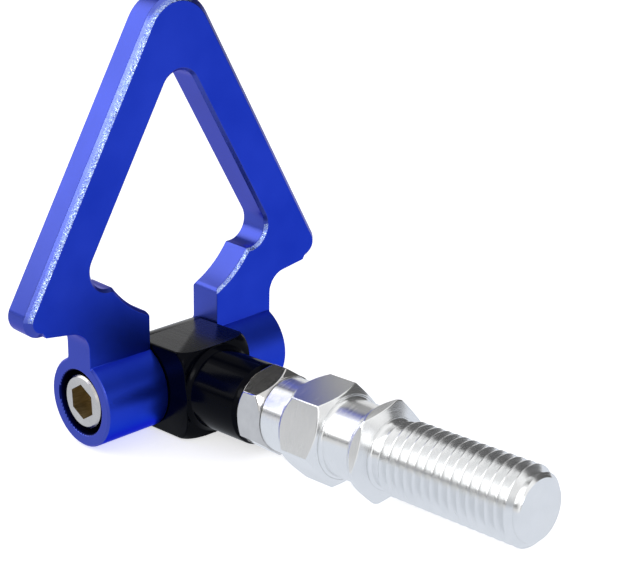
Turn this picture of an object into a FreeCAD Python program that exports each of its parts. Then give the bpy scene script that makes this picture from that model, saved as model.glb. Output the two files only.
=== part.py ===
# Folding tow hook: a triangular pull ring on two socket screws, a pivot block with a round
# stem, a lock nut, and a hexagonal adapter whose large thread screws into the vehicle.
#
# Frame, in millimetres: the stem runs along Y with the vehicle thread toward minus Y, the ring
# pivots about X and stands up along Z. The frame's origin is where the vehicle thread begins.
# Each piece is drawn with the pivot's centre at its own origin, and its Placement then moves it
# along Y by PIVOT_DISTANCE. The ring is drawn upright, and then leans forward by its lean angle,
# the pose that its fold joint calls 0 degrees.
#
# Every size is a cell of the Sizes sheet, and each feature is bound to those cells.
# The large thread is a plain rod at its outer diameter, and so are the hidden small threads.

import math
import os

import FreeCAD
import Part
import Sketcher

OUT = "parts"

# The driving sizes. A length is in millimetres, and a name that ends in angle is in degrees.
SIZES = {
    # Pull ring: a plate with three straight limbs, carried on two round lugs.
    "ring_thickness": 9.4,
    "limb_width": 11.9,
    "opening_centre_height": 47.8,
    "opening_inradius": 18.4,
    "opening_corner_radius": 5.3,
    "ring_apex_radius": 10.8,
    "ring_foot_radius": 4.4,
    "ring_foot_height": 21.8,
    "foot_flat_half_width": 41.6,
    "foot_slope_drop": 1.8,
    "foot_fillet": 5.5,
    "arch_radius": 26.3,
    "arch_centre_height": 44.3,
    "gap_corner_radius": 1.9,
    "ring_lean_angle": 3.5,
    "outer_bevel": 1.6,
    "inner_bevel": 0.8,
    # Ring lugs, which hold the screw heads.
    "lug_radius": 11.5,
    "lug_length": 18.5,
    "lug_edge_bevel": 0.5,
    "lug_back_fillet": 1.5,
    "head_recess_radius": 8.35,
    "head_recess_bevel": 0.4,
    # Pivot block: turned from round bar, milled flat on four sides.
    "block_bar_radius": 15.45,
    "block_half_width": 10.7,
    "block_front_reach": 18.1,
    "block_front_round": 4.0,
    "stem_radius": 10.1,
    "stem_length": 17.2,
    "stem_root_bevel": 1.0,
    "stem_end_bevel": 1.1,
    "tapping_cone_depth": 2.6,
    # Pivot screws, one from each side.
    "screw_head_radius": 6.85,
    "screw_head_height": 7.6,
    "screw_head_sink": 0.6,
    "screw_head_bevel": 0.5,
    "screw_shank_radius": 5.0,
    "screw_grip": 8.0,
    "screw_tip_bevel": 0.8,
    "socket_across_flats": 8.0,
    "socket_depth": 5.0,
    # Lock nut against the stem.
    "nut_across_flats": 19.0,
    "nut_height": 7.7,
    "nut_bevel_length": 1.7,
    "nut_bevel_inset": 1.5,
    "nut_angle": 8.0,
    # Adapter: hexagon bar, turned down between two hexagons.
    "adapter_across_flats": 21.8,
    "adapter_angle": 20.0,
    "collar_radius": 9.2,
    "collar_length": 7.2,
    "hexagon_length": 13.1,
    "waist_radius": 9.35,
    "waist_length": 8.6,
    "flange_length": 5.3,
    "rear_bevel_length": 2.6,
    "rear_bevel_inset": 3.3,
    "hexagon_front_bevel_length": 1.6,
    "hexagon_front_bevel_inset": 2.4,
    "flange_front_bevel_length": 1.5,
    "flange_front_bevel_inset": 3.8,
    "waist_root_bevel": 0.8,
    "neck_root_bevel": 0.9,
    "thread_neck_radius": 7.8,
    "thread_neck_length": 2.6,
    "vehicle_thread_radius": 9.0,
    "vehicle_thread_length": 38.7,
    "vehicle_thread_bevel": 2.0,
    "rear_thread_radius": 6.0,
    "rear_thread_length": 28.0,
    "rear_thread_bevel": 1.0,
    # Clearances between mating pieces.
    "lug_side_clearance": 0.3,
    "pivot_clearance": 0.1,
    "head_seat_clearance": 0.2,
    "screw_thread_clearance": 0.05,
    "rear_thread_clearance": 0.1,
    "rear_thread_end_gap": 1.5,
    "nut_seat_gap": 0.1,
}

DOC = FreeCAD.newDocument("TowHook")


def make_sheet():
    """Write the driving sizes into the spreadsheet, one alias to a row."""
    sheet = DOC.addObject("Spreadsheet::Sheet", "Sizes")
    for row, (name, value) in enumerate(SIZES.items(), start=1):
        sheet.set("A%d" % row, name)
        sheet.set("B%d" % row, str(value))
        sheet.setAlias("B%d" % row, name)
    DOC.recompute()
    return sheet


SHEET = make_sheet()


class Size:
    """A length that knows both its value and the expression that binds it to the sheet."""

    def __init__(self, value, text):
        self.value = value
        self.text = text

    def __add__(self, other):
        other = as_size(other)
        return Size(self.value + other.value, "(%s + %s)" % (self.text, other.text))

    def __sub__(self, other):
        other = as_size(other)
        return Size(self.value - other.value, "(%s - %s)" % (self.text, other.text))

    def __mul__(self, other):
        other = as_size(other)
        return Size(self.value * other.value, "(%s * %s)" % (self.text, other.text))

    def __truediv__(self, other):
        other = as_size(other)
        return Size(self.value / other.value, "(%s / %s)" % (self.text, other.text))

    def __rsub__(self, other):
        return as_size(other) - self

    def __neg__(self):
        return Size(-self.value, "(-1 * %s)" % self.text)


def as_size(thing):
    """A plain number becomes a Size, and a Size is returned as it is."""
    if isinstance(thing, Size):
        return thing
    return Size(float(thing), repr(float(thing)))


def size(name):
    """The named cell of the sheet."""
    return Size(float(SIZES[name]), "Sizes." + name)


def origin_feature(body, role):
    """One of the body's own origin planes or axes, by its role."""
    for feature in body.Origin.OriginFeatures:
        if feature.Role == role:
            return feature
    raise RuntimeError("no origin feature " + role)


def new_body(label):
    body = DOC.addObject("PartDesign::Body", label)
    body.Label = label
    body.Placement = FreeCAD.Placement(FreeCAD.Vector(0, PIVOT_DISTANCE.value, 0), FreeCAD.Rotation())
    body.setExpression("Placement.Base.y", PIVOT_DISTANCE.text)
    return body


def new_sketch(body, name, plane):
    sketch = body.newObject("Sketcher::SketchObject", name)
    sketch.AttachmentSupport = [(origin_feature(body, plane), "")]
    sketch.MapMode = "FlatFace"
    return sketch


def bind_distance(sketch, kind, geometry, point, length):
    """Hold one coordinate of a sketch point at a length from the origin, bound to the sheet."""
    if abs(length.value) < 1e-9:
        axis = -2 if kind == "DistanceX" else -1
        sketch.addConstraint(Sketcher.Constraint("PointOnObject", geometry, point, axis))
        return
    if length.value > 0:
        ends = (-1, 1, geometry, point)
        bound = length
    else:
        ends = (geometry, point, -1, 1)
        bound = -length
    row = sketch.addConstraint(Sketcher.Constraint(kind, *ends, bound.value))
    sketch.setExpression("Constraints[%d]" % row, bound.text)


def draw_polygon(sketch, corners):
    """A closed outline whose corners are pairs of Sizes in the sketch's own plane."""
    corners = [(as_size(u), as_size(v)) for u, v in corners]
    points = [FreeCAD.Vector(u.value, v.value, 0) for u, v in corners]
    count = len(points)
    for index in range(count):
        line = Part.LineSegment(points[index], points[(index + 1) % count])
        sketch.addGeometry(line, False)
    for index in range(count):
        joint = (index, 2, (index + 1) % count, 1)
        sketch.addConstraint(Sketcher.Constraint("Coincident", *joint))
    for index, (u, v) in enumerate(corners):
        bind_distance(sketch, "DistanceX", index, 1, u)
        bind_distance(sketch, "DistanceY", index, 1, v)


def draw_circle(sketch, centre_u, centre_v, radius):
    centre_u, centre_v = as_size(centre_u), as_size(centre_v)
    centre = FreeCAD.Vector(centre_u.value, centre_v.value, 0)
    upright = FreeCAD.Vector(0, 0, 1)
    index = sketch.addGeometry(Part.Circle(centre, upright, radius.value), False)
    bind_distance(sketch, "DistanceX", index, 3, centre_u)
    bind_distance(sketch, "DistanceY", index, 3, centre_v)
    row = sketch.addConstraint(Sketcher.Constraint("Radius", index, radius.value))
    sketch.setExpression("Constraints[%d]" % row, radius.text)


def add_pad(body, name, sketch, length, midplane=True, backward=False):
    pad = body.newObject("PartDesign::Pad", name)
    pad.Profile = sketch
    pad.Midplane = midplane
    pad.Reversed = backward
    pad.setExpression("Length", length.text)
    DOC.recompute()
    return pad


def add_pocket(body, name, sketch, length, midplane=True, backward=False):
    pocket = body.newObject("PartDesign::Pocket", name)
    pocket.Profile = sketch
    pocket.Midplane = midplane
    pocket.Reversed = backward
    pocket.setExpression("Length", length.text)
    DOC.recompute()
    return pocket


def add_turned(body, name, kind, sketch, axis):
    """A revolution or a groove about one of the body's own axes."""
    turned = body.newObject("PartDesign::" + kind, name)
    turned.Profile = sketch
    turned.ReferenceAxis = (origin_feature(body, axis), [""])
    turned.Angle = 360
    DOC.recompute()
    return turned


def edges_where(feature, test):
    """Names of the feature's edges that pass the test."""
    found = []
    for index, edge in enumerate(feature.Shape.Edges, start=1):
        if test(edge):
            found.append("Edge%d" % index)
    if not found:
        raise RuntimeError("no edge found for " + feature.Label)
    return found


def add_edge_feature(body, name, kind, base, test, amount):
    """A fillet or chamfer on the edges of the base that pass the test."""
    feature = body.newObject("PartDesign::" + kind, name)
    feature.Base = (base, edges_where(base, test))
    if kind == "Fillet":
        feature.setExpression("Radius", amount.text)
    else:
        feature.setExpression("Size", amount.text)
    DOC.recompute()
    return feature


def near(first, second, slack=0.02):
    return abs(first - second) < slack


def runs_through(edge, x, z):
    """True for an edge along Y that stands at x and z."""
    first, last = edge.Vertexes[0].Point, edge.Vertexes[-1].Point
    same_x = near(first.x, x) and near(last.x, x)
    same_z = near(first.z, z) and near(last.z, z)
    return same_x and same_z and abs(first.y - last.y) > 1


# Sizes worked out from the driving ones, shared by pieces that mate.

HALF_THICKNESS = size("ring_thickness") / 2
ROOT_THREE = math.sqrt(3.0)

# Each limb's inner face lies opening_inradius from the centre of the opening's triangle.
INNER_APEX_HEIGHT = size("opening_centre_height") + size("opening_inradius") * 2
INNER_BASE_HEIGHT = size("opening_centre_height") - size("opening_inradius")
INNER_HALF_BASE = (INNER_APEX_HEIGHT - INNER_BASE_HEIGHT) / ROOT_THREE
OUTER_APEX_HEIGHT = INNER_APEX_HEIGHT + size("limb_width") * 2
OUTER_HALF_BASE = (OUTER_APEX_HEIGHT - size("ring_foot_height")) / ROOT_THREE

LUG_INNER_FACE = size("block_half_width") + size("lug_side_clearance")
LUG_OUTER_FACE = LUG_INNER_FACE + size("lug_length")
SCREW_HEAD_TOP = LUG_OUTER_FACE - size("screw_head_sink")
SCREW_HEAD_SEAT = SCREW_HEAD_TOP - size("screw_head_height")
HEAD_RECESS_FLOOR = SCREW_HEAD_SEAT - size("head_seat_clearance")
SCREW_TIP = size("block_half_width") - size("screw_grip")
PIVOT_BORE_RADIUS = size("screw_shank_radius") + size("pivot_clearance")
SCREW_HOLE_RADIUS = size("screw_shank_radius") + size("screw_thread_clearance")

# Stations along the stem, as distances from the pivot toward the vehicle.
STEM_END = size("block_front_reach") + size("stem_length")
NUT_START = STEM_END + size("nut_seat_gap")
NUT_END = NUT_START + size("nut_height")
COLLAR_START = NUT_END + size("nut_seat_gap")
COLLAR_END = COLLAR_START + size("collar_length")
HEXAGON_END = COLLAR_END + size("hexagon_length")
WAIST_END = HEXAGON_END + size("waist_length")
FLANGE_END = WAIST_END + size("flange_length")
NECK_END = FLANGE_END + size("thread_neck_length")
THREAD_END = NECK_END + size("vehicle_thread_length")
PIVOT_DISTANCE = NECK_END + size("vehicle_thread_radius") - size("thread_neck_radius")
REAR_THREAD_TIP = NUT_END - size("rear_thread_length")
TAPPED_END = REAR_THREAD_TIP - size("rear_thread_end_gap")
REAR_BORE_RADIUS = size("rear_thread_radius") + size("rear_thread_clearance")


def draw_arch(sketch, centre_height, radius, chord_height):
    """The part of a circle below a level chord, with its centre on the sketch's upright axis."""
    rise = chord_height.value - centre_height.value
    half_chord = math.sqrt(radius.value ** 2 - rise ** 2)
    centre = FreeCAD.Vector(0, centre_height.value, 0)
    circle = Part.Circle(centre, FreeCAD.Vector(0, 0, 1), radius.value)
    start = math.atan2(rise, -half_chord)
    end = math.atan2(rise, half_chord)
    arc = sketch.addGeometry(Part.ArcOfCircle(circle, start, end), False)
    left = FreeCAD.Vector(-half_chord, chord_height.value, 0)
    right = FreeCAD.Vector(half_chord, chord_height.value, 0)
    chord = sketch.addGeometry(Part.LineSegment(right, left), False)
    sketch.addConstraint(Sketcher.Constraint("Coincident", arc, 2, chord, 1))
    sketch.addConstraint(Sketcher.Constraint("Coincident", chord, 2, arc, 1))
    sketch.addConstraint(Sketcher.Constraint("Horizontal", chord))
    bind_distance(sketch, "DistanceX", arc, 3, as_size(0))
    bind_distance(sketch, "DistanceY", arc, 3, centre_height)
    bind_distance(sketch, "DistanceY", chord, 1, chord_height)
    row = sketch.addConstraint(Sketcher.Constraint("Radius", arc, radius.value))
    sketch.setExpression("Constraints[%d]" % row, radius.text)


def hexagon(across_flats):
    """Corners of a hexagon with one corner straight up."""
    side = across_flats / 2
    corner = across_flats / ROOT_THREE
    return [
        (0, corner),
        (side, corner / 2),
        (side, -(corner / 2)),
        (0, -corner),
        (-side, -(corner / 2)),
        (-side, corner / 2),
    ]


STEM_AXIS = (0, 1, 0)
PIVOT_AXIS = (1, 0, 0)


def turn_about(body, axis, angle_name):
    """Turn a finished piece about a line through its own origin by an angle of the sheet."""
    turn = FreeCAD.Rotation(FreeCAD.Vector(*axis), SIZES[angle_name])
    body.Placement = FreeCAD.Placement(body.Placement.Base, turn)
    body.setExpression("Placement.Rotation.Angle", "Sizes." + angle_name)


def make_triangle_ring():
    """The pull ring: one milled plate with a three-cornered opening and two round lugs."""
    body = new_body("triangle_ring")
    foot = size("ring_foot_height")
    thickness = size("ring_thickness")
    through = thickness + 2

    # The triangle, level at its feet, with round corners and bevelled all round.
    outline = new_sketch(body, "RingOutline", "XZ_Plane")
    draw_polygon(outline, [(0, OUTER_APEX_HEIGHT), (OUTER_HALF_BASE, foot), (-OUTER_HALF_BASE, foot)])
    plate = add_pad(body, "RingPlate", outline, thickness)
    apex = add_edge_feature(
        body, "RingApexRound", "Fillet", plate,
        lambda edge: runs_through(edge, 0, OUTER_APEX_HEIGHT.value), size("ring_apex_radius"))
    feet = add_edge_feature(
        body, "RingFootRounds", "Fillet", apex,
        lambda edge: runs_through(edge, OUTER_HALF_BASE.value, foot.value)
        or runs_through(edge, -OUTER_HALF_BASE.value, foot.value), size("ring_foot_radius"))
    add_edge_feature(
        body, "RingOuterBevel", "Chamfer", feet,
        lambda edge: near(abs(edge.CenterOfMass.y), HALF_THICKNESS.value), size("outer_bevel"))

    # The necks: between the feet's flats the underside slopes down to the lugs.
    necks = new_sketch(body, "NeckOutline", "XZ_Plane")
    flat = size("foot_flat_half_width")
    slope_end = foot - size("foot_slope_drop")
    neck_top = foot + size("outer_bevel") * 2
    top_half_width = flat + size("outer_bevel") * 1.2
    draw_polygon(necks, [
        (-top_half_width, neck_top), (top_half_width, neck_top), (flat, foot), (LUG_OUTER_FACE, slope_end),
        (LUG_OUTER_FACE, 0), (-LUG_OUTER_FACE, 0), (-LUG_OUTER_FACE, slope_end), (-flat, foot),
    ])
    neck_pad = add_pad(body, "Necks", necks, thickness)
    add_edge_feature(
        body, "FootFillets", "Fillet", neck_pad,
        lambda edge: runs_through(edge, LUG_OUTER_FACE.value, slope_end.value)
        or runs_through(edge, -LUG_OUTER_FACE.value, slope_end.value), size("foot_fillet"))

    # The lugs are one round bar across both necks until the gap for the block is cut.
    barrel = new_sketch(body, "LugCircle", "YZ_Plane")
    draw_circle(barrel, 0, 0, size("lug_radius"))
    lugs = add_pad(body, "Lugs", barrel, LUG_OUTER_FACE * 2)
    meeting_height = math.sqrt(size("lug_radius").value ** 2 - HALF_THICKNESS.value ** 2)

    def behind_neck(edge):
        middle = edge.CenterOfMass
        return near(middle.y, HALF_THICKNESS.value) and near(middle.z, meeting_height)

    add_edge_feature(
        body, "LugBackFillet", "Fillet", lugs, behind_neck, size("lug_back_fillet"))

    # The opening: a round-cornered triangle, and below it the arch that clears the block.
    opening = new_sketch(body, "OpeningOutline", "XZ_Plane")
    draw_polygon(opening, [
        (0, INNER_APEX_HEIGHT), (INNER_HALF_BASE, INNER_BASE_HEIGHT),
        (-INNER_HALF_BASE, INNER_BASE_HEIGHT),
    ])
    opened = add_pocket(body, "Opening", opening, through)
    add_edge_feature(
        body, "OpeningRounds", "Fillet", opened,
        lambda edge: runs_through(edge, 0, INNER_APEX_HEIGHT.value)
        or runs_through(edge, INNER_HALF_BASE.value, INNER_BASE_HEIGHT.value)
        or runs_through(edge, -INNER_HALF_BASE.value, INNER_BASE_HEIGHT.value),
        size("opening_corner_radius"))
    arch = new_sketch(body, "ArchOutline", "XZ_Plane")
    chord_height = INNER_BASE_HEIGHT + size("inner_bevel") * 2
    draw_arch(arch, size("arch_centre_height"), size("arch_radius"), chord_height)
    arched = add_pocket(body, "Arch", arch, through)

    def round_the_opening(edge):
        middle = edge.CenterOfMass
        on_face = near(abs(middle.y), HALF_THICKNESS.value)
        within_limbs = ROOT_THREE * abs(middle.x) + middle.z < INNER_APEX_HEIGHT.value + 0.5
        lowest = size("arch_centre_height").value - size("arch_radius").value
        return on_face and within_limbs and middle.z > lowest - 0.1 and inside_arch(middle)

    def inside_arch(point):
        reach = math.hypot(point.x, point.z - size("arch_centre_height").value)
        return point.z > foot.value + 4 or reach < size("arch_radius").value + 0.1

    add_edge_feature(
        body, "InnerBevel", "Chamfer", arched, round_the_opening, size("inner_bevel"))

    # The gap between the lugs takes the pivot block.
    gap = new_sketch(body, "LugGap", "XZ_Plane")
    gap_bottom = -(size("lug_radius") + 1)
    gap_top = size("arch_centre_height") - size("arch_radius") * 0.8
    draw_polygon(gap, [
        (-LUG_INNER_FACE, gap_bottom), (LUG_INNER_FACE, gap_bottom),
        (LUG_INNER_FACE, gap_top), (-LUG_INNER_FACE, gap_top),
    ])
    gapped = add_pocket(body, "BlockGap", gap, size("lug_radius") * 2 + 2)

    def above_gap(edge):
        start = edge.Vertexes[0].Point
        return near(abs(start.x), LUG_INNER_FACE.value) and runs_through(edge, start.x, start.z)

    rounded = add_edge_feature(
        body, "GapCornerRounds", "Fillet", gapped, above_gap, size("gap_corner_radius"))
    add_edge_feature(
        body, "LugEdgeBevel", "Chamfer", rounded,
        lambda edge: is_lug_rim(edge), size("lug_edge_bevel"))

    # Each lug is bored for its screw and recessed for the screw's head.
    bore = new_sketch(body, "PivotBore", "YZ_Plane")
    draw_circle(bore, 0, 0, PIVOT_BORE_RADIUS)
    add_pocket(body, "PivotBores", bore, LUG_OUTER_FACE * 2 + 2)
    for side, name in ((1, "Right"), (-1, "Left")):
        recess = new_sketch(body, name + "RecessProfile", "XY_Plane")
        radius = size("head_recess_radius")
        bevel = size("head_recess_bevel")
        draw_polygon(recess, [
            (HEAD_RECESS_FLOOR * side, 0),
            ((LUG_OUTER_FACE + 1) * side, 0),
            ((LUG_OUTER_FACE + 1) * side, radius + bevel),
            (LUG_OUTER_FACE * side, radius + bevel),
            ((LUG_OUTER_FACE - bevel) * side, radius),
            (HEAD_RECESS_FLOOR * side, radius),
        ])
        add_turned(body, name + "HeadRecess", "Groove", recess, "X_Axis")
    turn_about(body, PIVOT_AXIS, "ring_lean_angle")
    return body


def is_lug_rim(edge):
    """True for the outer rim of a lug's end face."""
    if not isinstance(edge.Curve, Part.Circle):
        return False
    at_end = near(abs(edge.CenterOfMass.x), LUG_OUTER_FACE.value)
    return at_end and near(edge.Curve.Radius, size("lug_radius").value)


def make_pivot_block():
    """The black base: a turned blank with four milled flats and a rounded back."""
    body = new_body("pivot_block")
    reach = size("block_front_reach")
    bar = size("block_bar_radius")
    rounding = size("block_front_round")
    stem = size("stem_radius")
    back = size("lug_radius")

    # The stem with a bevelled end, drawn as half of its section and turned about Y.
    blank = new_sketch(body, "BlankProfile", "XY_Plane")
    draw_polygon(blank, [(0, back), (bar, back), (bar, -reach), (0, -reach)])
    turned_blank = add_turned(body, "Blank", "Revolution", blank, "Y_Axis")
    add_edge_feature(
        body, "BlankFrontRound", "Fillet", turned_blank,
        lambda edge: near(edge.CenterOfMass.y, -reach.value)
        and isinstance(edge.Curve, Part.Circle), rounding)
    stem_profile = new_sketch(body, "StemProfile", "XY_Plane")
    bevel = size("stem_end_bevel")
    draw_polygon(stem_profile, [
        (0, 1 - reach), (stem, 1 - reach), (stem, bevel - STEM_END),
        (stem - bevel, -STEM_END), (0, -STEM_END),
    ])
    stemmed = add_turned(body, "Stem", "Revolution", stem_profile, "Y_Axis")
    add_edge_feature(
        body, "StemRootBevel", "Chamfer", stemmed,
        lambda edge: near(edge.CenterOfMass.y, -reach.value)
        and isinstance(edge.Curve, Part.Circle)
        and near(edge.Curve.Radius, stem.value), size("stem_root_bevel"))

    # Four flats: the sides fit between the lugs, and the top and bottom are level with them.
    half = size("block_half_width")
    for side, name in ((1, "Right"), (-1, "Left")):
        flat = new_sketch(body, name + "Flat", "XZ_Plane")
        draw_polygon(flat, [
            (half * side, -(bar + 1)), ((bar + 1) * side, -(bar + 1)),
            ((bar + 1) * side, bar + 1), (half * side, bar + 1),
        ])
        add_pocket(body, name + "Side", flat, (reach + back) * 2 + 2)
    for side, name in ((1, "Upper"), (-1, "Lower")):
        flat = new_sketch(body, name + "Flat", "XZ_Plane")
        draw_polygon(flat, [
            (-(bar + 1), back * side), (bar + 1, back * side),
            (bar + 1, (bar + 1) * side), (-(bar + 1), (bar + 1) * side),
        ])
        add_pocket(body, name + "Side", flat, (reach + back) * 2 + 2)

    # The back is rounded about the pivot, so that the ring's arch swings past it.
    corner_cut = new_sketch(body, "BackCorners", "YZ_Plane")
    draw_round_back(corner_cut, back)
    add_pocket(body, "RoundedBack", corner_cut, half * 2 + 2)

    # One tapped hole across for both screws, and one along the stem for the adapter.
    cross = new_sketch(body, "CrossHole", "YZ_Plane")
    draw_circle(cross, 0, 0, SCREW_HOLE_RADIUS)
    add_pocket(body, "CrossTapping", cross, half * 2 + 2)
    tapping = new_sketch(body, "StemBore", "XY_Plane")
    draw_polygon(tapping, [
        (0, -(STEM_END + 1)), (REAR_BORE_RADIUS, -(STEM_END + 1)),
        (REAR_BORE_RADIUS, -TAPPED_END), (0, size("tapping_cone_depth") - TAPPED_END),
    ])
    add_turned(body, "StemTapping", "Groove", tapping, "Y_Axis")
    return body


def draw_round_back(sketch, radius):
    """What is left of a square behind the pivot when a half circle is kept."""
    reach = radius + 1
    zero = as_size(0)
    corners = [(zero, radius), (zero, reach), (reach, reach), (reach, -reach), (zero, -reach), (zero, -radius)]
    points = [FreeCAD.Vector(u.value, v.value, 0) for u, v in corners]
    for index in range(len(points) - 1):
        sketch.addGeometry(Part.LineSegment(points[index], points[index + 1]), False)
    circle = Part.Circle(FreeCAD.Vector(), FreeCAD.Vector(0, 0, 1), radius.value)
    arc = sketch.addGeometry(Part.ArcOfCircle(circle, -math.pi / 2, math.pi / 2), False)
    for index in range(len(points) - 2):
        sketch.addConstraint(Sketcher.Constraint("Coincident", index, 2, index + 1, 1))
    sketch.addConstraint(Sketcher.Constraint("Coincident", len(points) - 2, 2, arc, 1))
    sketch.addConstraint(Sketcher.Constraint("Coincident", arc, 2, 0, 1))
    sketch.addConstraint(Sketcher.Constraint("Coincident", arc, 3, -1, 1))
    for index in range(1, len(points) - 1):
        u, v = corners[index]
        bind_distance(sketch, "DistanceX", index, 1, u)
        bind_distance(sketch, "DistanceY", index, 1, v)
    bind_distance(sketch, "DistanceX", arc, 2, zero)
    bind_distance(sketch, "DistanceX", arc, 1, zero)
    row = sketch.addConstraint(Sketcher.Constraint("Radius", arc, radius.value))
    sketch.setExpression("Constraints[%d]" % row, radius.text)


def make_pivot_screw(label, side):
    """A socket-head screw, entering from the side given as 1 for plus X or -1 for minus X."""
    body = new_body(label)
    head = size("screw_head_radius")
    shank = size("screw_shank_radius")
    head_bevel = size("screw_head_bevel")
    tip_bevel = size("screw_tip_bevel")
    profile = new_sketch(body, "ScrewProfile", "XY_Plane")
    draw_polygon(profile, [
        (SCREW_TIP * side, 0),
        (SCREW_TIP * side, shank - tip_bevel),
        ((SCREW_TIP + tip_bevel) * side, shank),
        (SCREW_HEAD_SEAT * side, shank),
        (SCREW_HEAD_SEAT * side, head),
        ((SCREW_HEAD_TOP - head_bevel) * side, head),
        (SCREW_HEAD_TOP * side, head - head_bevel),
        (SCREW_HEAD_TOP * side, 0),
    ])
    add_turned(body, "ScrewBlank", "Revolution", profile, "X_Axis")
    # The socket's sketch lies on the middle plane, so its pocket is as long as twice the reach
    # and a round plug refills it up to the socket's floor.
    socket = new_sketch(body, "SocketHexagon", "YZ_Plane")
    draw_polygon(socket, hexagon(size("socket_across_flats")))
    socket.AttachmentOffset = FreeCAD.Placement(
        FreeCAD.Vector(0, 0, SCREW_HEAD_TOP.value * side), FreeCAD.Rotation())
    socket.setExpression("AttachmentOffset.Base.z", (SCREW_HEAD_TOP * side).text)
    add_pocket(body, "Socket", socket, size("socket_depth") * 2)
    return body


def make_lock_nut():
    """A hexagon nut, bevelled at both ends, that locks the adapter against the stem."""
    body = new_body("lock_nut")
    flats = size("nut_across_flats")
    height = size("nut_height")
    corner = flats / ROOT_THREE
    outline = new_sketch(body, "NutHexagon", "XZ_Plane")
    draw_polygon(outline, hexagon(flats))
    lift_along_stem(outline, NUT_START)
    add_pad(body, "NutBlank", outline, height, midplane=False)
    bevel_hexagon(body, "NutRear", corner, NUT_START, 1, size("nut_bevel_length"), size("nut_bevel_inset"))
    bevel_hexagon(body, "NutFront", corner, NUT_END, -1, size("nut_bevel_length"), size("nut_bevel_inset"))
    bore = new_sketch(body, "NutBore", "XZ_Plane")
    draw_circle(bore, 0, 0, REAR_BORE_RADIUS)
    add_pocket(body, "NutTapping", bore, NUT_END * 2 + 2)
    turn_about(body, STEM_AXIS, "nut_angle")
    return body


def lift_along_stem(sketch, distance):
    """Move a sketch on the XZ plane to a distance from the pivot toward the vehicle."""
    sketch.AttachmentOffset = FreeCAD.Placement(
        FreeCAD.Vector(0, 0, distance.value), FreeCAD.Rotation())
    sketch.setExpression("AttachmentOffset.Base.z", distance.text)
    DOC.recompute()


def bevel_hexagon(body, name, corner, end, inward, length, inset):
    """Turn the corners of a hexagon's end down to a cone; inward is 1 or -1 along the stem."""
    profile = new_sketch(body, name + "BevelProfile", "XY_Plane")
    inner_end = end + length * inward
    draw_polygon(profile, [
        (corner - inset, -end), (corner + 1, -end), (corner + 1, -inner_end), (corner, -inner_end),
    ])
    return add_turned(body, name + "Bevel", "Groove", profile, "Y_Axis")


def is_ring_edge(edge, y, radius):
    """True for a turned edge of one radius, at one place along the stem."""
    corners = [vertex.Point for vertex in edge.Vertexes]
    return all(near(c.y, y) and near(math.hypot(c.x, c.z), radius) for c in corners)


def make_adapter_stud():
    """The adapter: two hexagons with turned stretches between, and a thread at each end."""
    body = new_body("adapter_stud")
    corner = size("adapter_across_flats") / ROOT_THREE
    for name, start, length in (
            ("Hexagon", COLLAR_END, size("hexagon_length")),
            ("Flange", WAIST_END, size("flange_length"))):
        outline = new_sketch(body, name + "Outline", "XZ_Plane")
        draw_polygon(outline, hexagon(size("adapter_across_flats")))
        lift_along_stem(outline, start)
        if name == "Hexagon":
            add_pad(body, name, outline, length, midplane=False)
        else:
            flange_outline, flange_length = outline, length

    # All the turned stretches are one profile, from the hidden tip to the vehicle's end.
    rear = size("rear_thread_radius")
    rear_bevel = size("rear_thread_bevel")
    thread = size("vehicle_thread_radius")
    thread_bevel = size("vehicle_thread_bevel")
    neck = size("thread_neck_radius")
    collar = size("collar_radius")
    waist = size("waist_radius")
    turned = new_sketch(body, "TurnedProfile", "XY_Plane")
    draw_polygon(turned, [
        (0, -REAR_THREAD_TIP),
        (rear - rear_bevel, -REAR_THREAD_TIP),
        (rear, -(REAR_THREAD_TIP + rear_bevel)),
        (rear, -COLLAR_START),
        (collar, -COLLAR_START),
        (collar, -(COLLAR_END + 1)),
        (waist, -(HEXAGON_END - 1)),
        (waist, -(WAIST_END + 1)),
        (neck, -(FLANGE_END - 1)),
        (neck, -NECK_END),
        (thread, -(NECK_END + (thread - neck))),
        (thread, -(THREAD_END - thread_bevel)),
        (thread - thread_bevel, -THREAD_END),
        (0, -THREAD_END),
    ])
    add_turned(body, "TurnedStretches", "Revolution", turned, "Y_Axis")
    add_pad(body, "Flange", flange_outline, flange_length, midplane=False)

    for name, start, end in (("Hexagon", COLLAR_END, HEXAGON_END), ("Flange", WAIST_END, FLANGE_END)):
        bevel_hexagon(body, name + "Rear", corner, start, 1, size("rear_bevel_length"), size("rear_bevel_inset"))
        front_length = size(name.lower() + "_front_bevel_length")
        front_inset = size(name.lower() + "_front_bevel_inset")
        bevel_hexagon(body, name + "Front", corner, end, -1, front_length, front_inset)

    # The turning tool leaves a small cone where a stretch meets the face above it.
    for name, place, radius in (("Waist", HEXAGON_END, waist), ("Neck", FLANGE_END, neck)):
        add_edge_feature(
            body, name + "RootBevel", "Chamfer", body.Tip,
            lambda edge, place=place, radius=radius: is_ring_edge(edge, -place.value, radius.value),
            size(name.lower() + "_root_bevel"))
    turn_about(body, STEM_AXIS, "adapter_angle")
    return body


def check_and_write(bodies):
    """Stop on any broken object, then write each piece to its own file."""
    DOC.recompute()
    for thing in DOC.Objects:
        for state in thing.State:
            if state in ("Invalid", "Error"):
                raise RuntimeError("%s is %s" % (thing.Label, state))
    os.makedirs(OUT, exist_ok=True)
    for body in bodies:
        shape = body.Shape
        if shape.isNull() or not shape.isValid():
            raise RuntimeError("bad shape: " + body.Label)
        if len(shape.Solids) != 1:
            raise RuntimeError("%s has %d solids" % (body.Label, len(shape.Solids)))
        shape.exportStep(os.path.join(OUT, body.Label + ".step"))
        box = shape.BoundBox
        print("%-18s volume %9.1f  x %7.2f %7.2f  y %8.2f %7.2f  z %7.2f %7.2f" % (
            body.Label, shape.Volume, box.XMin, box.XMax, box.YMin, box.YMax, box.ZMin, box.ZMax))


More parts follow.
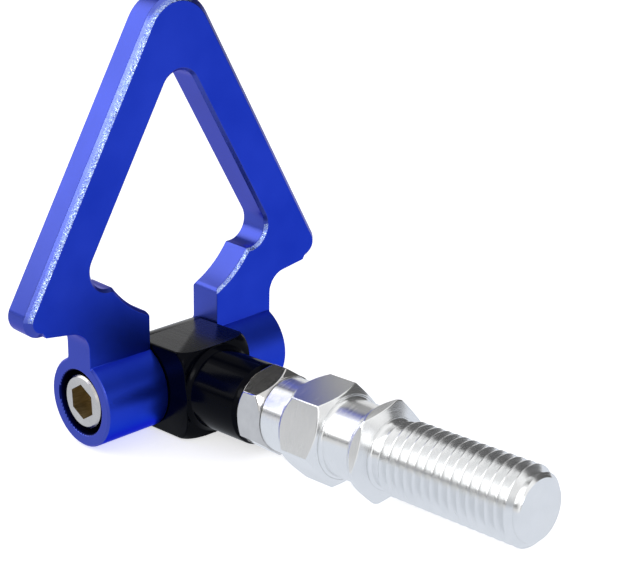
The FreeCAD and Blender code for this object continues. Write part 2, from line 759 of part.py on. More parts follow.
check_and_write([
    make_triangle_ring(),
    make_pivot_block(),
    make_pivot_screw("pivot_screw_right", 1),
    make_pivot_screw("pivot_screw_left", -1),
    make_lock_nut(),
    make_adapter_stud(),
])
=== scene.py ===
"""Tow hook with a folding blue triangle ring, on a pale studio floor."""

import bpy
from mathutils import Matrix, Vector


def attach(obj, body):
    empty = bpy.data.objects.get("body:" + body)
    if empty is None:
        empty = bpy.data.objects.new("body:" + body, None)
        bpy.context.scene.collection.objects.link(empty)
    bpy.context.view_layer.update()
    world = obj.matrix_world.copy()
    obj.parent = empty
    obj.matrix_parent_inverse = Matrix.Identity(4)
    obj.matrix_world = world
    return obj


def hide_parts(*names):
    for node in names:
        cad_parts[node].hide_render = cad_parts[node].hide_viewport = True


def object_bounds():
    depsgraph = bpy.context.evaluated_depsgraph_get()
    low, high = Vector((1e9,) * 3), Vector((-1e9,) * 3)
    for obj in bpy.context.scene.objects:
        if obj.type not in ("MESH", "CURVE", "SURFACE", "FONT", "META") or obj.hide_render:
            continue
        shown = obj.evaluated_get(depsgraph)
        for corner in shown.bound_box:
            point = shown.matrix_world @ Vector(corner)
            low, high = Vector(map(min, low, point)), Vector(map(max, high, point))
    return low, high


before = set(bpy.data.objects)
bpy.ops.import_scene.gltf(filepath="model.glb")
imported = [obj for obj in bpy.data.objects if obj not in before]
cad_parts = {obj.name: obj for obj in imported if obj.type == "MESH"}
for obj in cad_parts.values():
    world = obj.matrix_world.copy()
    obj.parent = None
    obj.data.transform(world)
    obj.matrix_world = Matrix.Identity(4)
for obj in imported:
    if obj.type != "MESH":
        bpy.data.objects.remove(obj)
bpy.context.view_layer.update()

import math

import bmesh
import bpy
from mathutils import Matrix, Vector

MM = 0.001

# Ring and screws: places and sizes in millimetres, and the ring's lean in degrees
PIVOT_Y = 81.2
RING_LEAN = 3.5
LUG_RADIUS = 11.5
LUG_MIDDLE_X = 15.0
LUG_END_X = 29.3
RECESS_RADIUS = 8.6
PLAIN_CORNER_X = -30.0
PLAIN_CORNER_TOP = 50.0
SOCKET_RADIUS = 4.9
SOCKET_END_X = 28.7

# How the solids' faces are told apart: areas in square millimetres, slopes as parts of one, and
# margins round the lugs in millimetres
LARGE_FACE_AREA = 55.0
FLAT_AREA = 60.0
FACE_SLOPE = 0.97
CHAMFER_SLOPES = (0.35, 0.93)
BARREL_SLOPE = 0.5
PAINTED_GLINT_SLOPE = 0.3
BARREL_MARGIN = 0.1
CHAMFER_MARGIN = 0.6

# Blue finish: tint at a glancing view, colour of the chamfers' smooth part, depths in millimetres from
# the plate's middle where their rough cut and its painted glint begin and are full, and how far its facets
# lean; the chamfer finish goes only on chamfers that look up towards the lamps, so its pale facets are a
# painted glint
BLUE_EDGE = (0.20, 0.28, 1.0, 1.0)
SMOOTH_CUT_COLOUR = (0.10, 0.14, 0.62, 1.0)
SMOOTH_CUT_DEPTH = 3.65
ROUGH_CUT_DEPTH = 4.25
FACET_TILT = 0.40

# Turned cuts: how fast their direction swings outward from the axis on an end face, and how slowly
# their pattern changes across the axis, where it is 1 along it
TANGENT_SPREAD = 60.0
CUT_SQUEEZE = 0.02

# Small rounds along the edges: widths in millimetres, segments, and the angles from which an edge
# gets one or is shaded as sharp
RING_ROUND = 0.12
BLOCK_ROUND = 0.20
NUT_ROUND = 0.18
ADAPTER_ROUND = 0.20
ROUND_SEGMENTS = 2
ROUND_FROM_DEGREES = 25.0
SHARP_DEGREES = 28.0
THREAD_SHARP_DEGREES = 40.0

# Distances in millimetres within which points are joined or a cut snaps to them, and the angle below
# which neighbouring faces are one flat
SOLID_JOIN = 0.002
TURNED_JOIN = 0.001
THREAD_JOIN = 0.005
FLAT_SNAP = 0.02
END_SNAP = 0.001
SAME_PLANE_DEGREES = 0.3

# Bright adapter: radii, places along the stem from the pivot, and bevels as (length, depth), all in
# millimetres, and the turn of its flats in degrees
REAR_THREAD_RADIUS = 6.0
COLLAR_RADIUS = 9.2
WAIST_RADIUS = 9.35
NECK_RADIUS = 7.8
ADAPTER_ACROSS_FLATS = 21.8
ADAPTER_ANGLE = 20.0
REAR_TIP = 15.1
REAR_TIP_BEVEL = 1.0
COLLAR_START = 43.2
HEXAGON_START = 50.4
HEXAGON_END = 63.5
FLANGE_START = 72.1
FLANGE_END = 77.4
NECK_END = 80.0
HEXAGON_REAR_BEVEL = (3.2, 2.5)
FLANGE_REAR_BEVEL = (3.2, 2.5)
HEXAGON_FRONT_BEVEL = (1.6, 2.4)
FLANGE_FRONT_BEVEL = (1.5, 3.8)
FLANGE_CORNER_CUT = 0.45
WAIST_FILLET = 0.8
NECK_FILLET = 0.9

# Lock nut, in the same measures
NUT_START = 35.4
NUT_END = 43.1
NUT_ACROSS_FLATS = 19.0
NUT_ANGLE = 8.0
NUT_BORE_RADIUS = 6.1
NUT_BEVEL = (1.7, 1.5)

# Vehicle thread, in millimetres
THREAD_PITCH = 2.5
THREAD_TOP_RADIUS = 9.0
THREAD_ROOT_RADIUS = 7.50
THREAD_TOP_FLAT = 0.24
THREAD_ROOT_FLAT = 0.40
THREAD_BACK = 79.8
THREAD_TIP = 118.7
THREAD_TIP_RADIUS = 7.0

# Turns that are wound past the thread's ends, and the corners from which a face is one of its flat ends
SPARE_TURNS = 3
END_FACE_CORNERS = 8

# Steps round a full turn, on turned pieces and on the thread
TURN_STEPS = 144
THREAD_STEPS = 96

# Steps in a root fillet
FILLET_STEPS = 6

# Camera: picture in pixels, sensor and places in millimetres, angles in degrees, and the nearest and
# farthest that it sees in metres
IMAGE_WIDTH = 639
SENSOR_WIDTH = 36.0
FOCAL_PIXELS = 1540.71
CAMERA_AZIMUTH = -44.148
CAMERA_ELEVATION = 18.153
CAMERA_ROLL = -1.435
CAMERA_DISTANCE = 430.435
CAMERA_TARGET = (53.419, 81.2, 9.274)
CAMERA_NEAR = 0.01
CAMERA_FAR = 50.0


# Small helpers for materials

def math_node(tree, operation, first, second=0.0):
    """A sum or the like of two inputs, each a fixed number or another node's output."""
    node = tree.nodes.new("ShaderNodeMath")
    node.operation = operation
    for socket, value in zip(node.inputs, (first, second)):
        if isinstance(value, float):
            socket.default_value = value
        else:
            tree.links.new(value, socket)
    return node.outputs[0]


class Shader:
    """One node material, with short calls for adding and joining its nodes."""

    def __init__(self, name):
        self.material = bpy.data.materials.new(name)
        self.material.use_nodes = True
        self.tree = self.material.node_tree
        self.surface = self.tree.nodes["Principled BSDF"]
        self.coordinates = self.tree.nodes.new("ShaderNodeTexCoord").outputs["Object"]

    def add(self, kind, **settings):
        """A new node of a kind, with its settings."""
        node = self.tree.nodes.new(kind)
        for name, value in settings.items():
            setattr(node, name, value)
        return node

    def join(self, source, target):
        self.tree.links.new(source, target)

    def set(self, **values):
        """Even values, set on the surface's own sockets."""
        for name, value in values.items():
            self.surface.inputs[name.replace("_", " ")].default_value = value

    def stretched(self, scale, centre=(0.0, 0.0, 0.0)):
        """Object coordinates about a centre, squeezed or stretched along each axis."""
        mapping = self.add("ShaderNodeMapping")
        mapping.inputs["Location"].default_value = [-c * s for c, s in zip(centre, scale)]
        mapping.inputs["Scale"].default_value = scale
        self.join(self.coordinates, mapping.inputs["Vector"])
        return mapping.outputs["Vector"]

    def noise(self, vector, scale, detail, roughness):
        node = self.add("ShaderNodeTexNoise")
        self.join(vector, node.inputs["Vector"])
        node.inputs["Scale"].default_value = scale
        node.inputs["Detail"].default_value = detail
        node.inputs["Roughness"].default_value = roughness
        return node.outputs["Fac"]

    def cells(self, vector, scale):
        """A random colour for each small cell."""
        node = self.add("ShaderNodeTexVoronoi")
        self.join(vector, node.inputs["Vector"])
        node.inputs["Scale"].default_value = scale
        return node.outputs["Color"]

    def between(self, value, low, high, start=0.3, end=0.7):
        """A value from start to end, spread over low to high."""
        node = self.add("ShaderNodeMapRange")
        self.join(value, node.inputs["Value"])
        node.inputs["From Min"].default_value = start
        node.inputs["From Max"].default_value = end
        node.inputs["To Min"].default_value = low
        node.inputs["To Max"].default_value = high
        return node.outputs["Result"]

    def colours(self, value, stops):
        node = self.add("ShaderNodeValToRGB")
        self.join(value, node.inputs["Fac"])
        ramp = node.color_ramp
        while len(ramp.elements) < len(stops):
            ramp.elements.new(0.5)
        for element, (place, colour) in zip(ramp.elements, stops):
            element.position = place
            element.color = (*colour, 1.0)
        return node.outputs["Color"]

    def bump(self, height, strength, distance):
        node = self.add("ShaderNodeBump")
        self.join(height, node.inputs["Height"])
        node.inputs["Strength"].default_value = strength
        node.inputs["Distance"].default_value = distance
        return node.outputs["Normal"]

    def across_the_cuts(self, centre, along):
        """The direction across turned cuts: along the axis on a rod, outward on an end face."""
        spread = [TANGENT_SPREAD] * 3
        spread[along] = 0.0
        outward = self.stretched(spread, centre)
        total = self.add("ShaderNodeVectorMath", operation="ADD")
        self.join(outward, total.inputs[0])
        total.inputs[1].default_value = [1.0 if axis == along else 0.0 for axis in range(3)]
        turned = self.add("ShaderNodeVectorTransform", vector_type="VECTOR",
                          convert_from="OBJECT", convert_to="WORLD")
        self.join(total.outputs["Vector"], turned.inputs["Vector"])
        return turned.outputs["Vector"]

    def tilted(self, random_colour, strength):
        """A normal that leans by a random amount from one facet to the next."""
        middle = self.add("ShaderNodeVectorMath", operation="SUBTRACT")
        self.join(random_colour, middle.inputs[0])
        middle.inputs[1].default_value = (0.5, 0.5, 0.5)
        lean = self.add("ShaderNodeVectorMath", operation="SCALE")
        self.join(middle.outputs["Vector"], lean.inputs[0])
        self.join(strength, lean.inputs["Scale"])
        upright = self.add("ShaderNodeNewGeometry").outputs["Normal"]
        total = self.add("ShaderNodeVectorMath", operation="ADD")
        self.join(upright, total.inputs[0])
        self.join(lean.outputs["Vector"], total.inputs[1])
        whole = self.add("ShaderNodeVectorMath", operation="NORMALIZE")
        self.join(total.outputs["Vector"], whole.inputs[0])
        return whole.outputs["Vector"]

    def finish(self, colour, roughness, normal):
        self.join(colour, self.surface.inputs["Base Color"])
        self.join(roughness, self.surface.inputs["Roughness"])
        self.join(normal, self.surface.inputs["Normal"])
        return self.material


# Materials of the object

def make_blue_anodised(name, dark, light, coat):
    """Dyed blue aluminium: metal under a clear, faintly grainy oxide skin."""
    shader = Shader(name)
    shader.set(Metallic=1.0, Coat_Weight=coat, Coat_Roughness=0.25, Coat_IOR=1.6, Specular_Tint=BLUE_EDGE)
    fine = shader.noise(shader.coordinates, scale=2600.0, detail=3.0, roughness=0.6)
    broad = shader.noise(shader.coordinates, scale=60.0, detail=2.0, roughness=0.5)
    colour = shader.colours(broad, [(0.30, dark), (0.70, light)])
    roughness = shader.between(fine, low=0.32, high=0.42)
    normal = shader.bump(fine, strength=0.10, distance=0.04 * MM)
    return shader.finish(colour, roughness, normal)


def make_blue_face():
    return make_blue_anodised("blue_face", dark=(0.014, 0.046, 0.58), light=(0.023, 0.062, 0.66), coat=0.04)


def make_blue_side():
    return make_blue_anodised("blue_side", dark=(0.024, 0.052, 0.44), light=(0.032, 0.062, 0.50), coat=0.62)


def make_blue_painted_shade_recess():
    """Painted shade: a dull blue, much darker than the faces, down inside a lug's recess where shade falls.
    """
    shader = Shader("blue_painted_shade_recess")
    shader.set(Metallic=1.0)
    marks = shader.noise(shader.stretched((1.0, 0.1, 0.1)), scale=2400.0, detail=3.0, roughness=0.6)
    # Painted shade: the recess's darkness is put into these colours
    colour = shader.colours(marks, [(0.3, (0.0015, 0.004, 0.06)), (0.7, (0.003, 0.007, 0.10))])
    roughness = shader.between(marks, low=0.35, high=0.5)
    normal = shader.bump(marks, strength=0.15, distance=0.03 * MM)
    return shader.finish(colour, roughness, normal)


def make_blue_painted_glint_edge():
    """The milled chamfer on edges that look up towards the lamps: smooth along its outer side, and near the
    face glinting from small tilted cuts and from pale random facets, a painted glint.
    """
    shader = Shader("blue_painted_glint_edge")
    shader.set(Metallic=1.0, Coat_Weight=0.35, Coat_Roughness=0.15, Coat_IOR=1.6, Specular_Tint=BLUE_EDGE)
    facets = shader.cells(shader.coordinates, scale=5200.0)
    grey = shader.add("ShaderNodeRGBToBW")
    shader.join(facets, grey.inputs["Color"])
    lean = math.radians(RING_LEAN)
    depth = shader.add("ShaderNodeVectorMath", operation="DOT_PRODUCT")
    shader.join(shader.coordinates, depth.inputs[0])
    depth.inputs[1].default_value = (0.0, math.cos(lean), math.sin(lean))
    middle = PIVOT_Y * math.cos(lean) * MM
    from_middle = math_node(shader.tree, "SUBTRACT", depth.outputs["Value"], middle)
    either_side = math_node(shader.tree, "ABSOLUTE", from_middle)
    cut = shader.between(either_side, 0.0, 1.0, SMOOTH_CUT_DEPTH * MM, ROUGH_CUT_DEPTH * MM)
    # Painted glint: pale random facets, much lighter than the blue, put only on chamfers that face the lamps
    painted_glint_colour = shader.colours(grey.outputs["Val"], [(0.25, (0.07, 0.13, 0.62)), (0.75, (0.50, 0.62, 0.92))])
    smooth = shader.add("ShaderNodeRGB")
    smooth.outputs[0].default_value = SMOOTH_CUT_COLOUR
    colour = shader.add("ShaderNodeMix", data_type="RGBA")
    shader.join(cut, colour.inputs[0])
    shader.join(smooth.outputs[0], colour.inputs[6])
    shader.join(painted_glint_colour, colour.inputs[7])
    cuts = shader.noise(shader.coordinates, scale=1500.0, detail=3.0, roughness=0.7)
    roughness = shader.between(cuts, low=0.18, high=0.36)
    tilt = shader.between(cut, 0.0, FACET_TILT, 0.0, 1.0)
    normal = shader.tilted(facets, tilt)
    shader.join(normal, shader.surface.inputs["Coat Normal"])
    return shader.finish(colour.outputs[2], roughness, normal)


def make_black_anodised(name, gloss, smooth, rough):
    """Black anodised aluminium: near black, with a weak, faintly lined reflection."""
    shader = Shader(name)
    shader.set(Metallic=0.0, IOR=1.5, Specular_IOR_Level=gloss)
    fine = shader.noise(shader.coordinates, scale=1900.0, detail=3.0, roughness=0.6)
    lines = shader.noise(shader.stretched((1.0, 0.08, 1.0)), scale=900.0, detail=2.0, roughness=0.5)
    colour = shader.colours(fine, [(0.3, (0.0006, 0.0010, 0.0030)), (0.7, (0.0012, 0.0018, 0.0050))])
    roughness = shader.between(lines, smooth, rough)
    normal = shader.bump(fine, strength=0.05, distance=0.03 * MM)
    return shader.finish(colour, roughness, normal)


def make_turned_metal(name, dark, light, smooth, rough, line_strength, centre, along):
    """Bare turned metal: fine cutting lines round one axis (0 to 2 for X to Z) blur what it mirrors."""
    shader = Shader(name)
    shader.set(Metallic=1.0, Anisotropic=0.75)
    shader.join(shader.across_the_cuts(centre, along), shader.surface.inputs["Tangent"])
    squeeze = [CUT_SQUEEZE] * 3
    squeeze[along] = 1.0
    lines = shader.noise(shader.stretched(squeeze, centre), scale=5200.0, detail=3.0, roughness=0.65)
    blotches = shader.noise(shader.coordinates, scale=210.0, detail=3.0, roughness=0.55)
    colour = shader.colours(blotches, [(0.3, dark), (0.7, light)])
    roughness = shader.between(lines, smooth, rough)
    normal = shader.bump(lines, line_strength, distance=0.02 * MM)
    return shader.finish(colour, roughness, normal)


def make_bright_adapter():
    return make_turned_metal("bright_turned_steel", dark=(0.87, 0.88, 0.885), light=(0.91, 0.915, 0.92),
                             smooth=0.20, rough=0.28, line_strength=0.06, centre=(0.0, 0.0, 0.0), along=1)


def make_chrome_nut():
    """Plated hexagon nut with a few fine rubbed marks."""
    shader = Shader("plated_chrome")
    shader.set(Metallic=1.0)
    rubbed = shader.noise(shader.stretched((0.15, 1.0, 1.0)), scale=1500.0, detail=3.0, roughness=0.7)
    blotches = shader.noise(shader.coordinates, scale=260.0, detail=2.0, roughness=0.5)
    colour = shader.colours(blotches, [(0.3, (0.60, 0.59, 0.585)), (0.7, (0.66, 0.65, 0.64))])
    roughness = shader.between(rubbed, low=0.06, high=0.14)
    normal = shader.bump(rubbed, strength=0.05, distance=0.02 * MM)
    return shader.finish(colour, roughness, normal)


def make_screw_steel():
    return make_turned_metal("screw_steel", dark=(0.56, 0.545, 0.53), light=(0.64, 0.62, 0.60),
                             smooth=0.16, rough=0.30, line_strength=0.12,
                             centre=(0.0, PIVOT_Y * MM, 0.0), along=0)


def make_socket_steel():
    """Inside of the key socket: punched steel with a warm, oily tint."""
    shader = Shader("socket_steel")
    shader.set(Metallic=1.0)
    marks = shader.noise(shader.stretched((0.2, 1.0, 1.0)), scale=1800.0, detail=3.0, roughness=0.7)
    colour = shader.colours(marks, [(0.3, (0.30, 0.235, 0.12)), (0.7, (0.52, 0.42, 0.24))])
    roughness = shader.between(marks, low=0.35, high=0.60)
    normal = shader.bump(marks, strength=0.25, distance=0.04 * MM)
    return shader.finish(colour, roughness, normal)


# Shaping the visible pieces

def merged_copy(node):
    """The node's own mesh as a loose bmesh: corners joined, flat areas made whole again."""
    shape = bmesh.new()
    shape.from_mesh(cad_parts[node].data)
    bmesh.ops.remove_doubles(shape, verts=shape.verts, dist=SOLID_JOIN * MM)
    bmesh.ops.recalc_face_normals(shape, faces=shape.faces)
    bmesh.ops.dissolve_limit(shape, angle_limit=math.radians(SAME_PLANE_DEGREES),
                             verts=shape.verts, edges=shape.edges)
    for face in shape.faces:
        face.smooth = face.calc_area() < LARGE_FACE_AREA * MM * MM
    return shape


def into_scene(name, shape, materials):
    """Turns a finished bmesh into an object of the scene."""
    mesh = bpy.data.meshes.new(name)
    shape.to_mesh(mesh)
    shape.free()
    for material in materials:
        mesh.materials.append(material)
    thing = bpy.data.objects.new(name, mesh)
    bpy.context.scene.collection.objects.link(thing)
    return thing


def make_piece(name, shape, materials, body, sharp_degrees=SHARP_DEGREES):
    """Turns a finished bmesh into a piece that rides on a body."""
    piece = into_scene(name, shape, materials)
    piece.data.set_sharp_from_angle(angle=math.radians(sharp_degrees))
    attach(piece, body)
    return piece


def soften_edges(piece, width):
    """A real, narrow round along every sharp edge, so that it catches the light."""
    bevel = piece.modifiers.new("edge_round", "BEVEL")
    bevel.width = width * MM
    bevel.segments = ROUND_SEGMENTS
    bevel.limit_method = "ANGLE"
    bevel.angle_limit = math.radians(ROUND_FROM_DEGREES)
    bevel.use_clamp_overlap = False


def turned(profile, closed=False):
    """Spins (radius, place from the pivot) points, in mm, once round the stem."""
    shape = bmesh.new()
    corners = [shape.verts.new((radius * MM, (PIVOT_Y - place) * MM, 0.0)) for radius, place in profile]
    pairs = list(zip(corners, corners[1:]))
    if closed:
        pairs.append((corners[-1], corners[0]))
    edges = [shape.edges.new(pair) for pair in pairs]
    bmesh.ops.spin(shape, geom=corners + edges, cent=(0.0, 0.0, 0.0), axis=(0.0, 1.0, 0.0),
                   angle=2.0 * math.pi, steps=TURN_STEPS, use_merge=True, use_duplicate=False)
    bmesh.ops.remove_doubles(shape, verts=shape.verts, dist=TURNED_JOIN * MM)
    bmesh.ops.recalc_face_normals(shape, faces=shape.faces)
    for face in shape.faces:
        face.smooth = True
    return shape


def mill_flats(shape, across_flats, angle):
    """Planes six flats round the stem, wherever the turned shape is wider than they are."""
    for index in range(6):
        direction = math.radians(60.0 * index - angle)
        normal = Vector((math.cos(direction), 0.0, math.sin(direction)))
        cut = bmesh.ops.bisect_plane(
            shape, geom=shape.verts[:] + shape.edges[:] + shape.faces[:], dist=FLAT_SNAP * MM,
            plane_co=normal * across_flats / 2.0 * MM, plane_no=normal, clear_outer=True)
        rims = [part for part in cut["geom_cut"] if isinstance(part, bmesh.types.BMEdge)]
        filled = bmesh.ops.holes_fill(shape, edges=rims, sides=0)
        for face in filled["faces"]:
            face.smooth = False


def corner_radius(across_flats):
    return across_flats / math.sqrt(3.0)


def hexagon_profile(across_flats, start, end, rear_bevel, front_bevel, corner_cut=0.0):
    """The turned outline of a hexagon: cones at its ends, its corners' radius between."""
    corner = corner_radius(across_flats) - corner_cut
    return [(corner - rear_bevel[1], start), (corner, start + rear_bevel[0]),
            (corner, end - front_bevel[0]), (corner - front_bevel[1], end)]


def root_fillet(radius, face_place, fillet):
    """A hollow round from an end face down to a turned stretch."""
    points = []
    for index in range(FILLET_STEPS + 1):
        turn = math.pi / 2.0 * index / FILLET_STEPS
        outward = fillet * (1.0 - math.sin(turn))
        forward = fillet * (1.0 - math.cos(turn))
        points.append((radius + outward, face_place + forward))
    return points


def centre_of(face):
    return face.calc_center_median() / MM


def from_pivot(face):
    """How far the middle of a face lies from the pivot's axis, in mm."""
    centre = centre_of(face)
    return math.hypot(centre.y - PIVOT_Y, centre.z)


def is_ring_chamfer(face):
    """True on the sloping edge faces of the triangle, not on its lugs."""
    slope = abs(face.normal.y)
    return CHAMFER_SLOPES[0] < slope < CHAMFER_SLOPES[1] and from_pivot(face) > LUG_RADIUS + CHAMFER_MARGIN


def is_plain_corner(face):
    """True round the left foot's inner corner, where the chamfer gets no painted glint and is smooth like the
    sides.
    """
    centre = centre_of(face)
    return PLAIN_CORNER_X < centre.x < 0.0 and centre.z < PLAIN_CORNER_TOP


def is_painted_glint_edge(face):
    """True on the chamfers that get the painted glint: those that look up towards the lamps, and not to the
    right.
    """
    looks_up = face.normal.z > 0.0 and face.normal.x < PAINTED_GLINT_SLOPE
    return is_ring_chamfer(face) and looks_up and not is_plain_corner(face)


def ring_material(face):
    """0 for the plain faces and the lugs' barrels, 1 for sides, 2 for cut edges with the painted glint, 3 for
    recesses with painted shade.
    """
    distance = from_pivot(face)
    # Painted shade inside the lugs' recesses
    if distance < RECESS_RADIUS and LUG_MIDDLE_X < abs(centre_of(face).x) < LUG_END_X:
        return 3
    if distance < LUG_RADIUS + BARREL_MARGIN and abs(face.normal.x) < BARREL_SLOPE:
        return 0
    # Painted glint on the chamfers that look up towards the lamps
    if is_painted_glint_edge(face):
        return 2
    if abs(face.normal.y) < FACE_SLOPE:
        return 1
    return 0


def make_ring():
    """The blue ring, with each kind of face in its own finish, painted shade in the lugs' recesses and a
    painted glint on the chamfers that look up.
    """
    shape = merged_copy("triangle_ring")
    for face in shape.faces:
        face.material_index = ring_material(face)
    materials = [make_blue_face(), make_blue_side(), make_blue_painted_glint_edge(), make_blue_painted_shade_recess()]
    ring = make_piece("blue_ring", shape, materials, "ring")
    soften_edges(ring, RING_ROUND)
    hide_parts("triangle_ring")


def is_milled_flat(face):
    """True on the block's large level flats, above and below."""
    return abs(face.normal.z) > FACE_SLOPE and face.calc_area() > FLAT_AREA * MM * MM


def make_block():
    """The pivot block: turned skin on its stem and sides, milled skin on its level flats."""
    shape = merged_copy("pivot_block")
    for face in shape.faces:
        face.material_index = int(is_milled_flat(face))
    turned_skin = make_black_anodised("black_turned", gloss=0.050, smooth=0.12, rough=0.20)
    milled_skin = make_black_anodised("black_milled", gloss=0.32, smooth=0.22, rough=0.32)
    block = make_piece("black_block", shape, [turned_skin, milled_skin], "base")
    soften_edges(block, BLOCK_ROUND)
    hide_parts("pivot_block")


def is_in_socket(face):
    return from_pivot(face) < SOCKET_RADIUS and abs(centre_of(face).x) < SOCKET_END_X


def make_screw(side, steel, socket):
    """One pivot screw, with the key socket's inside in its own finish."""
    shape = merged_copy("pivot_screw_" + side)
    for face in shape.faces:
        face.material_index = int(is_in_socket(face))
    screw = make_piece("socket_screw_" + side, shape, [steel, socket], "base")
    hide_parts("pivot_screw_" + side)


def make_nut():
    """The lock nut: turned with its bore, then milled to six flats."""
    outside = hexagon_profile(NUT_ACROSS_FLATS, NUT_START, NUT_END, NUT_BEVEL, NUT_BEVEL)
    inside = [(NUT_BORE_RADIUS, NUT_END), (NUT_BORE_RADIUS, NUT_START)]
    shape = turned(outside + inside, closed=True)
    mill_flats(shape, NUT_ACROSS_FLATS, NUT_ANGLE)
    nut = make_piece("chrome_nut", shape, [make_chrome_nut()], "nut")
    soften_edges(nut, NUT_ROUND)
    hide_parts("lock_nut")


def thread_tooth():
    """One pitch of the thread's outline, as (place along the stud, radius) points in mm."""
    root = THREAD_ROOT_RADIUS
    top = THREAD_TOP_RADIUS
    middle = THREAD_PITCH / 2.0
    return [(0.0, root), (THREAD_ROOT_FLAT / 2.0, root), (middle - THREAD_TOP_FLAT / 2.0, top),
            (middle + THREAD_TOP_FLAT / 2.0, top), (THREAD_PITCH - THREAD_ROOT_FLAT / 2.0, root),
            (THREAD_PITCH, root)]


def wind_thread():
    """One right-hand turn of the tooth, repeated by its pitch past both ends of the thread."""
    turns = math.ceil((THREAD_TIP - THREAD_BACK) / THREAD_PITCH) + SPARE_TURNS
    first_y = PIVOT_Y - THREAD_TIP - THREAD_PITCH
    shape = bmesh.new()
    corners = [shape.verts.new((radius * MM, (first_y + along) * MM, 0.0))
               for along, radius in thread_tooth()]
    profile = [shape.edges.new(pair) for pair in zip(corners, corners[1:])]
    bmesh.ops.spin(shape, geom=corners + profile, cent=(0.0, 0.0, 0.0), axis=(0.0, 1.0, 0.0),
                   dvec=(0.0, THREAD_PITCH / THREAD_STEPS * MM, 0.0),
                   angle=2.0 * math.pi, steps=THREAD_STEPS, use_duplicate=False)
    one_turn = shape.verts[:] + shape.edges[:] + shape.faces[:]
    for index in range(1, turns):
        again = bmesh.ops.duplicate(shape, geom=one_turn)
        moved = [part for part in again["geom"] if isinstance(part, bmesh.types.BMVert)]
        bmesh.ops.translate(shape, verts=moved, vec=(0.0, index * THREAD_PITCH * MM, 0.0))
    bmesh.ops.remove_doubles(shape, verts=shape.verts, dist=THREAD_JOIN * MM)
    return shape


def chamfer_thread(shape):
    """Presses the turns in to a cone at the tip and to the neck's radius at the back."""
    for vertex in shape.verts:
        place = PIVOT_Y - vertex.co.y / MM
        limit = min(NECK_RADIUS + place - NECK_END, THREAD_TIP_RADIUS + THREAD_TIP - place)
        radius = math.hypot(vertex.co.x, vertex.co.z) / MM
        if radius > limit > 0.0:
            vertex.co.x *= limit / radius
            vertex.co.z *= limit / radius


def cut_thread(shape):
    """Cuts the turns off square at both ends and closes the ends."""
    for place, outward in ((THREAD_BACK, 1.0), (THREAD_TIP, -1.0)):
        cut = bmesh.ops.bisect_plane(
            shape, geom=shape.verts[:] + shape.edges[:] + shape.faces[:], dist=END_SNAP * MM,
            plane_co=(0.0, (PIVOT_Y - place) * MM, 0.0), plane_no=(0.0, outward, 0.0), clear_outer=True)
        rims = [part for part in cut["geom_cut"] if isinstance(part, bmesh.types.BMEdge)]
        bmesh.ops.holes_fill(shape, edges=rims, sides=0)


def make_thread(steel):
    """The vehicle thread, with flat ends and smooth flanks."""
    shape = wind_thread()
    chamfer_thread(shape)
    cut_thread(shape)
    bmesh.ops.recalc_face_normals(shape, faces=shape.faces)
    for face in shape.faces:
        face.smooth = len(face.verts) < END_FACE_CORNERS
    thread = make_piece("vehicle_thread", shape, [steel], "adapter", THREAD_SHARP_DEGREES)
    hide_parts("adapter_stud")


def make_adapter(steel):
    """Two hexagons and the round stretches between them, turned in one and then milled."""
    hexagon = hexagon_profile(ADAPTER_ACROSS_FLATS, HEXAGON_START, HEXAGON_END,
                              HEXAGON_REAR_BEVEL, HEXAGON_FRONT_BEVEL)
    flange = hexagon_profile(ADAPTER_ACROSS_FLATS, FLANGE_START, FLANGE_END,
                             FLANGE_REAR_BEVEL, FLANGE_FRONT_BEVEL, FLANGE_CORNER_CUT)
    outline = [(0.0, REAR_TIP), (REAR_THREAD_RADIUS - REAR_TIP_BEVEL, REAR_TIP),
               (REAR_THREAD_RADIUS, REAR_TIP + REAR_TIP_BEVEL),
               (REAR_THREAD_RADIUS, COLLAR_START), (COLLAR_RADIUS, COLLAR_START),
               (COLLAR_RADIUS, HEXAGON_START)]
    outline += hexagon + root_fillet(WAIST_RADIUS, HEXAGON_END, WAIST_FILLET)
    outline += [(WAIST_RADIUS, FLANGE_START)]
    outline += flange + root_fillet(NECK_RADIUS, FLANGE_END, NECK_FILLET)
    outline += [(NECK_RADIUS, NECK_END), (0.0, NECK_END)]
    shape = turned(outline)
    mill_flats(shape, ADAPTER_ACROSS_FLATS, ADAPTER_ANGLE)
    adapter = make_piece("bright_adapter", shape, [steel], "adapter")
    soften_edges(adapter, ADAPTER_ROUND)
    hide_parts("adapter_stud")


# Studio: floor, lights, cards and camera

# Floor: half its side and its gap below the object in metres, its glow, and its tones to the light
# and in a mirror
FLOOR_REACH = 4.0
FLOOR_DROP = 0.0002
FLOOR_GLOW = 0.62
FLOOR_PAPER = (0.9, 0.9, 0.9, 1.0)
MIRRORED_FLOOR = (0.76, 0.80, 0.87, 1.0)

# Plain tones, the air's brightness where it lights things, and the point that lamps and cards face
WHITE = (1.0, 1.0, 1.0, 1.0)
BLACK = (0.0, 0.0, 0.0, 1.0)
AIR_LEVEL = 0.55
AIM = (0.0, 0.04, 0.03)

# Lamps and cards, in metres: name, place, size, brightness; a card is a square of side 1 made to size
LAMPS = (("left_softbox", (-0.40, 0.62, 0.53), (1.1, 0.66), 1.06),
         ("front_softbox", (-0.55, -0.68, 0.46), (0.3, 0.3), 5.0))
CARD_HALF_SIDE = 0.5
CARDS = (("front_card", (0.02, -0.96, 0.34), (0.55, 0.5), 0.80),
         ("camera_side_card", (-0.34, -0.89, 0.14), (0.50, 0.30), 0.15))

